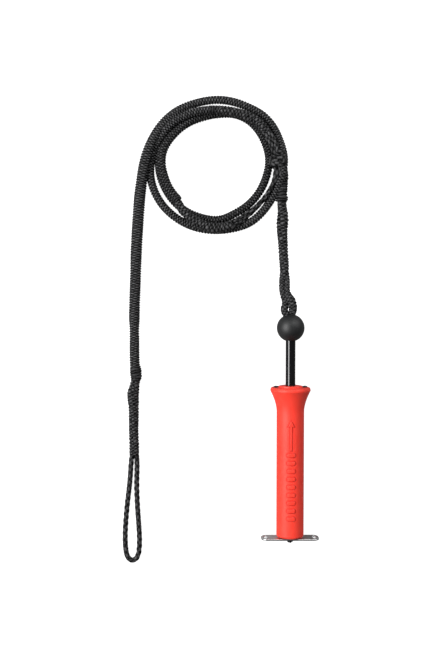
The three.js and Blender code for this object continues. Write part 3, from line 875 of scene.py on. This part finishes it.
def marks_edge(x, y):
    """How far inside the grip's raised marks a point is: an arrow, then bars."""
    tip, barb, shaft_end, shaft_half = 98.6, 93.4, 73.6, 1.0
    inside = np.minimum(shaft_half - np.abs(x), np.minimum(y - shaft_end, barb + 1.0 - y))
    inside = np.maximum(inside, np.minimum((tip - y) * 0.56 - np.abs(x) * 0.92, y - barb))
    bars, first, pitch, height, half_width = 9, 70.0, 6.6, 3.6, 3.8
    for k in range(bars):
        beyond = np.maximum(np.abs(x) - (half_width - height / 2), 0)
        inside = np.maximum(inside, height / 2 - np.hypot(beyond, y - first + k * pitch))
    return inside


def sleeve_outside():
    """The grip's outline from its lower end up the straight body, and out over the flare to the lip."""
    corner, spacing, lip, lip_height = 2.0, 0.3, 1.15, 2.6
    flare_y, flare_end = SLEEVE_LENGTH - FLARE_LENGTH, SLEEVE_LENGTH - lip_height
    quarter = np.linspace(0, PI / 2, 9)
    outline = [(BODY_R - corner + corner * math.sin(t), corner - corner * math.cos(t)) for t in quarter]
    outline += [(BODY_R, y) for y in np.arange(corner + spacing, flare_y, spacing)]
    for t in np.linspace(0, 1, 40):
        outline.append((BODY_R + (FLANGE_R - BODY_R) * t**1.75, flare_y + (flare_end - flare_y) * t))
    for t in quarter[1:]:
        outline.append((FLANGE_R - lip + lip * math.cos(t), flare_end + lip_height * math.sin(t)))
    return outline


def sleeve_angles():
    """Angles round the grip, close together in front, where its marks are."""
    front = 0.42
    return np.concatenate([np.linspace(-front, front, 65), np.linspace(front, TAU - front, 92)[1:-1]])


def grip_sleeve():
    """The flared grip as one closed skin: its outside with the raised marks, and its stepped bore."""
    recess_r, recess_y = CAP_R + GAP, SLEEVE_LENGTH - CAP_THICK - GAP
    outside = sleeve_outside()
    profile = outside + fillet([
        (recess_r, SLEEVE_LENGTH, 0), (recess_r, recess_y, 0.2), (UPPER_BORE_R, recess_y, 0.3),
        (UPPER_BORE_R, STEP_Y, 0.2), (LOWER_BORE_R, STEP_Y, 0.3), (LOWER_BORE_R, 0, 0.4),
    ], 3)
    angles = sleeve_angles()
    r, y = (np.array(values)[:, None] + 0 * angles[None, :] for values in zip(*profile))
    arc = np.where(angles > PI, angles - TAU, angles)[None, :] * BODY_R
    count = len(outside)
    inside_marks = np.full_like(r, -9.0)
    inside_marks[:count] = marks_edge(arc + 0 * r[:count], y[:count])
    mark_height, slope, crease_depth, crease_width = 0.5, 0.45, 0.18, 0.42
    rise = np.clip(inside_marks / slope, 0, 1)
    crease_and_painted_shade = np.exp(-(((inside_marks + 0.1) / crease_width) ** 2))
    r = r + mark_height * rise**2 * (3 - 2 * rise) - crease_depth * crease_and_painted_shade
    rings = np.stack([r * np.sin(angles), y, r * np.cos(angles)], axis=-1)
    faces = tube_faces(len(profile), len(angles), closed_rows=True)
    made = make_mesh("grip_sleeve_skin", rings, faces, HANDLE)
    # the grooves' mask, which paints shade into the rubber's colour
    set_attribute(made.data, "crease_and_painted_shade", 0.85 * crease_and_painted_shade.ravel())
    mend(made.data)
    soften(made, 50)
    return finish_piece(made, "red_rubber", "sleeve", "grip_sleeve")


def top_cap():
    """The red disc that closes the grip, with its boss and its spigot."""
    bore, spigot, rim = TUBE_R + GAP, UPPER_BORE_R - GAP, CAP_R + 0.25
    top, low = SLEEVE_LENGTH, SLEEVE_LENGTH - CAP_THICK
    bottom = low - CAP_SPIGOT
    corners = [
        (bore, bottom, 0.3), (spigot, bottom, 0.4), (spigot, low, 0.1), (rim, low, 0.2), (rim, top, 0.08),
        (BOSS_R, top, 0.9), (BOSS_R, top + BOSS_HEIGHT, 0.45), (bore, top + BOSS_HEIGHT, 0.35),
    ]
    holes = []
    for side in (-1, 1):
        holes.append(rod("hole", SCREW_SHANK_R + GAP, low - 4, top + 1, 24, offset=(side * SCREW_X, 0, 0)))
    return turned_part("top_cap_disc", corners, 5, 128, "red_plastic", "sleeve", "top_cap", holes)


def cap_screw(side, label):
    """A button-head screw with a six-sided socket."""
    under, tip = SLEEVE_LENGTH + GAP, SLEEVE_LENGTH + GAP - SCREW_DEPTH
    height, shoulder = 0.75 * SCREW_HEAD_HEIGHT, 0.2
    profile = [(0, tip), (SCREW_SHANK_R * 0.8, tip), (SCREW_SHANK_R, tip + 0.4)]
    profile += [(SCREW_SHANK_R, under - 0.1), (SCREW_HEAD_R - 0.15, under), (SCREW_HEAD_R, under + 0.18)]
    for t in np.linspace(0.12, 1, 10) * PI / 2:
        profile.append((SCREW_HEAD_R * math.cos(t), under + shoulder + (height - shoulder) * math.sin(t)))
    place = (side * SCREW_X, 0, 0)
    screw = lathe("cap_screw_" + label + "_head", profile, 48, offset=place)
    carve(screw, rod("socket", SCREW_SOCKET_R, under + height - 0.6, under + height + 1, 6, offset=place))
    return finish_piece(screw, "black_plastic", "sleeve", "cap_screw_" + label)


def core_tube():
    corners = ring_corners(TUBE_BORE_R, TUBE_R, TUBE_BOTTOM, TUBE_TOP, (0.25, 0.3, 0.3, 0.25))
    return turned_part("core_tube", corners, 4, 96, "black_tube", "core", "tube")


def ball_stop():
    """The ball, with its tube socket below and its rope bore above, both with a soft lip."""
    socket_r, socket_top = TUBE_R + GAP, TUBE_TOP + GAP
    mouth, exit_angle = math.asin((socket_r + 0.35) / BALL_R), math.asin((BALL_BORE_R + 0.45) / BALL_R)
    low, high = BALL_Y - BALL_R * math.cos(mouth), BALL_Y + BALL_R * math.cos(exit_angle)
    profile = [(BALL_BORE_R, socket_top), (socket_r, socket_top), (socket_r, low + 0.5)]
    profile.append((socket_r + 0.1, low + 0.2))
    for t in np.linspace(mouth, PI - exit_angle, 60):
        profile.append((BALL_R * math.sin(t), BALL_Y - BALL_R * math.cos(t)))
    profile += [(BALL_BORE_R + 0.12, high - 0.12), (BALL_BORE_R, high - 0.5)]
    return finish_piece(lathe("ball", profile, 128), "ball_plastic", "core", "ball_stop")


def stop_collar():
    """The collar on the tube that stops the grip's cap."""
    corners = ring_corners(TUBE_R + GAP, COLLAR_R, COLLAR_BOTTOM, COLLAR_TOP, (0.2, 0.5, 0.5, 0.2))
    return turned_part("stop_collar_ring", corners, 4, 80, "black_plastic", "core", "stop_collar")


def pin_carrier():
    """The ring on the step of the grip's bore, with the pin's seat in it."""
    low, high = STEP_Y + GAP, STEP_Y + GAP + CARRIER_THICK
    corners = ring_corners(TUBE_R + GAP, CARRIER_R, low, high, (0.2, 0.3, 0.4, 0.2))
    seat = rod("seat", PIN_R + GAP, low - 1, high + 1, 32, offset=(0, 0, PIN_Z))
    return turned_part("pin_carrier_ring", corners, 4, 80, "black_plastic", "sleeve", "pin_carrier", [seat])


def release_pin():
    """The pin, with a tapered nose that finds the loop again."""
    top = STEP_Y + CARRIER_THICK
    nose = [(0, 0), (0.35, 0.03), (0.55, 0.3), (PIN_R, 2.2), (PIN_R, 2.4)]
    profile = [(r, PIN_TIP + y) for r, y in nose] + [(PIN_R, top - 0.2), (PIN_R - 0.15, top), (0, top)]
    pin = lathe("release_pin_rod", profile, 32, offset=(0, 0, PIN_Z))
    return finish_piece(pin, "stainless", "sleeve", "release_pin")


def chassis():
    """The body in the grip: a bore for the loop's legs, a groove for the pin, a window for the loop."""
    socket_r = TUBE_R + GAP
    corners = [
        (LEG_BORE_R, CHASSIS_BOTTOM, 0.3), (CHASSIS_R, CHASSIS_BOTTOM, 0.8), (CHASSIS_R, CHASSIS_TOP, 0.5),
        (socket_r, CHASSIS_TOP, 0.3), (socket_r, CHAMBER_BOTTOM, 0), (LEG_BORE_R, CHAMBER_BOTTOM, 0.3),
    ]
    length, depth = CHASSIS_TOP + 1 - GROOVE_BOTTOM, CHASSIS_R + 1 - GROOVE_FLOOR
    centre = (0, GROOVE_BOTTOM + length / 2, GROOVE_FLOOR + depth / 2)
    groove = block("groove", (GROOVE_WIDTH, length, depth), centre)
    window = block("window", (GROOVE_WIDTH, 9, GROOVE_FLOOR + 1), (0, LOOP_Y - 0.5, (GROOVE_FLOOR + 1) / 2))
    socket = rod("socket", PIN_R + GAP, PIN_TIP - 1, GROOVE_BOTTOM + 1, 32, offset=(0, 0, PIN_Z))
    down = HANDLE @ Matrix.Translation((0, GRUB_Y * MM, 0)) @ Matrix.Rotation(-PI / 2, 4, "X")
    drilled = rod("drilled", GRUB_R + GAP, 0, CHASSIS_R + 1, 32, matrix=down)
    tools = [groove, window, socket, drilled]
    return turned_part("chassis_body", corners, 4, 96, "black_plastic", "core", "chassis", tools)


def release_loop():
    """The line through the plate, up the chassis and round the pin."""
    under = -PLATE_THICK - 2 * GAP
    reach = PIN_Z + PIN_R + LOOP_LINE_R + 0.2
    leg = [
        (LEG_X, under, 0), (LEG_X, 5, 0), (LEG_X, LOOP_Y - 4, 0), (1.3, LOOP_Y - 1, 0.9), (1.7, LOOP_Y, 3.2),
        (2.1, LOOP_Y, PIN_Z),
    ]
    bight = [(1.4, LOOP_Y, reach - 0.5), (0, LOOP_Y, reach), (-1.4, LOOP_Y, reach - 0.5)]
    points = leg + bight + [(-x, y, z) for x, y, z in reversed(leg)]
    piece = strand_tube("release_loop_line", points, LOOP_LINE_R, braided(3, 2.0), 0.2, 30, 0.2)
    return finish_piece(piece, "loop_line", "core", "release_loop")


def loop_knot():
    """The stopper knot: an overhand knot drawn up small."""
    middle = -PLATE_THICK - 3 * GAP - KNOT_THICK / 2
    points = []
    for t in np.linspace(0, TAU, 73)[:-1]:
        ring = 1.1 + 0.7 * math.cos(3 * t)
        points.append((ring * math.cos(2 * t), middle + 0.6 * math.sin(3 * t), ring * math.sin(2 * t)))
    points.append(points[0])
    piece = strand_tube("loop_knot_line", points, 0.85, braided(3, 2.0), 0.18, 30, 0.2)
    return finish_piece(piece, "loop_line", "core", "loop_knot")


def return_spring():
    """The spring between carrier and collar, which the grip squashes as it slides; here it is made at one length.
    """
    low = STEP_Y + GAP + CARRIER_THICK + GAP + WIRE_R
    high = COLLAR_BOTTOM - GAP - WIRE_R
    points = []
    for part in np.linspace(0, 1, SPRING_TURNS * 24 + 1):
        turn = part * SPRING_TURNS * TAU
        points.append((SPRING_R * math.sin(turn), low + (high - low) * part, SPRING_R * math.cos(turn)))
    spring = strand_tube("spring", points, WIRE_R, plain, 0.0, 14, 0.7)
    finish_piece(spring, "spring_steel", "core", "return_spring")
    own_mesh(spring)
    return spring


def flat_outline(curve, points):
    """Adds one closed outline to a flat curve."""
    line = curve.splines.new("POLY")
    line.points.add(len(points) - 1)
    for spot, (x, y) in zip(line.points, points):
        spot.co = (x * MM, y * MM, 0, 1)
    line.use_cyclic_u = True


def round_box(half_x, half_y, radius, centre_x=0, steps=10):
    """The outline of a box with round corners."""
    out = []
    for k, (a, b) in enumerate(((1, 1), (-1, 1), (-1, -1), (1, -1))):
        x, y = centre_x + a * (half_x - radius), b * (half_y - radius)
        for t in np.linspace(k * PI / 2, (k + 1) * PI / 2, steps):
            out.append((x + radius * math.cos(t), y + radius * math.sin(t)))
    return out


def plate_mesh():
    """The plate's outline with its two slots and its hole, made solid with rolled edges."""
    edge = 0.68
    curve = bpy.data.curves.new("plate_outline", "CURVE")
    curve.dimensions = "2D"
    curve.fill_mode = "BOTH"
    curve.extrude = (PLATE_THICK / 2 - edge) * MM
    curve.bevel_depth = edge * MM
    curve.bevel_resolution = 4
    curve.offset = -edge * MM
    flat_outline(curve, round_box(PLATE_LENGTH / 2 + PLATE_EXTRA, PLATE_DEPTH / 2, PLATE_CORNER_R, steps=16))
    for side in (-1, 1):
        flat_outline(curve, round_box(SLOT_WIDTH / 2, SLOT_LENGTH / 2, SLOT_WIDTH / 2 - 0.01, side * SLOT_X))
    hole = BUSH_R + GAP
    flat_outline(curve, [(hole * math.cos(t), hole * math.sin(t)) for t in np.arange(48) * TAU / 48])
    flat = add_object("plate_outline", curve)
    mesh = evaluated_mesh(flat)
    bpy.data.objects.remove(flat)
    return mesh


def end_plate():
    """The slotted plate, with painted shade on its rolled edges and, fainter, on its outer face."""
    mesh = plate_mesh()
    middle = Matrix.Translation((0, (-2 * GAP - PLATE_THICK / 2) * MM, 0)) @ Matrix.Rotation(PI / 2, 4, "X")
    mesh.transform(HANDLE @ middle)
    mesh.shade_smooth()
    made = add_object("end_plate_bar", mesh)
    mend(mesh, weld=1e-6)
    outward = np.array([-vertex.normal.dot(AXIS) for vertex in mesh.vertices])
    # painted shade mask: full on the rolled edges that turn away from the grip, 0.4 on the outer flat face, none
    # on the face towards the grip
    set_attribute(mesh, "painted_shade", np.clip((outward + 0.2) / 0.3, 0, 1) * np.where(outward > 0.93, 0.4, 1.0))
    soften(made, 40)
    return finish_piece(made, "stainless", "end_plate", "plate")


def plate_bush():
    """The bush in the plate's middle hole, which the loop's legs pass."""
    corners = ring_corners(LEG_BORE_R, BUSH_R, -2 * GAP - PLATE_THICK, -GAP, (0.25, 0.2, 0.2, 0.25))
    return turned_part("plate_bush_ring", corners, 3, 64, "black_plastic", "end_plate", "plate_bush")


def paint_carried_nodes():
    """The CAD pieces that stay take the same finishes as the new ones."""
    slots = {part["node"]: part["material_slot"] for part in frame["record"]["subparts"]}
    for name, item in frame["nodes"].items():
        if item.hide_render:
            continue
        if not item.material_slots:
            item.data.materials.append(MATERIALS[slots[name]])
        for place in item.material_slots:
            place.material = MATERIALS[slots[name]]


# ---- floor and light
FLOOR_HALF = 3.0
LIGHTS = [  # name, place, size and power: a soft one from the left, a weak one over the coil, a broad fill
    ("key", (-1.15, 0.20, 1.12), (1.4, 0.75), 39),
    ("top", (0.15, 1.15, 1.30), (0.9, 0.5), 4),
    ("fill", (1.15, 1.30, 1.00), (1.6, 1.6), 20),
]
LIGHTS_AIM = Vector((-0.06, 0.08, 0))
SKY_GLOW = 0.09
SKY_SEEN = 0.9


def make_floor():
    a = FLOOR_HALF
    mesh = bpy.data.meshes.new("floor")
    mesh.from_pydata([(-a, -a, 0), (a, -a, 0), (a, a, 0), (-a, a, 0)], [], [(0, 1, 2, 3)])
    mesh.materials.append(floor_material())
    add_object("floor", mesh)


def soft_light(name, place, size, power):
    lamp = bpy.data.lights.new(name, "AREA")
    lamp.shape = "RECTANGLE"
    lamp.size, lamp.size_y = size
    lamp.energy = power
    made = add_object(name, lamp)
    made.location = place
    made.rotation_euler = (LIGHTS_AIM - Vector(place)).to_track_quat("-Z", "Y").to_euler()


def make_light():
    """The lights, and a world that glows weakly but is seen nearly white."""
    world = bpy.data.worlds.new("studio")
    bpy.context.scene.world = world
    world.use_nodes = True
    tree = world.node_tree
    sky = tree.nodes["Background"]
    sky.inputs["Color"].default_value = (1, 1, 1, 1)
    seen = node(tree, "LightPath").outputs["Is Camera Ray"]
    tree.links.new(ranged(tree, seen, 0, 1, SKY_GLOW, SKY_SEEN), sky.inputs["Strength"])
    for name, place, size, power in LIGHTS:
        soft_light(name, place, size, power)
    view = bpy.context.scene.view_settings
    view.view_transform = "Standard"
    view.look = "None"
    view.exposure = 0
    view.gamma = 1


make_camera()
MATERIALS = make_materials()
near_rope()
near_end()
far_start()
far_rope()
grip_sleeve()
top_cap()
cap_screw(-1, "left")
cap_screw(1, "right")
core_tube()
ball_stop()
stop_collar()
pin_carrier()
release_pin()
chassis()
release_loop()
loop_knot()
return_spring()
end_plate()
plate_bush()
paint_carried_nodes()
make_floor()
make_light()
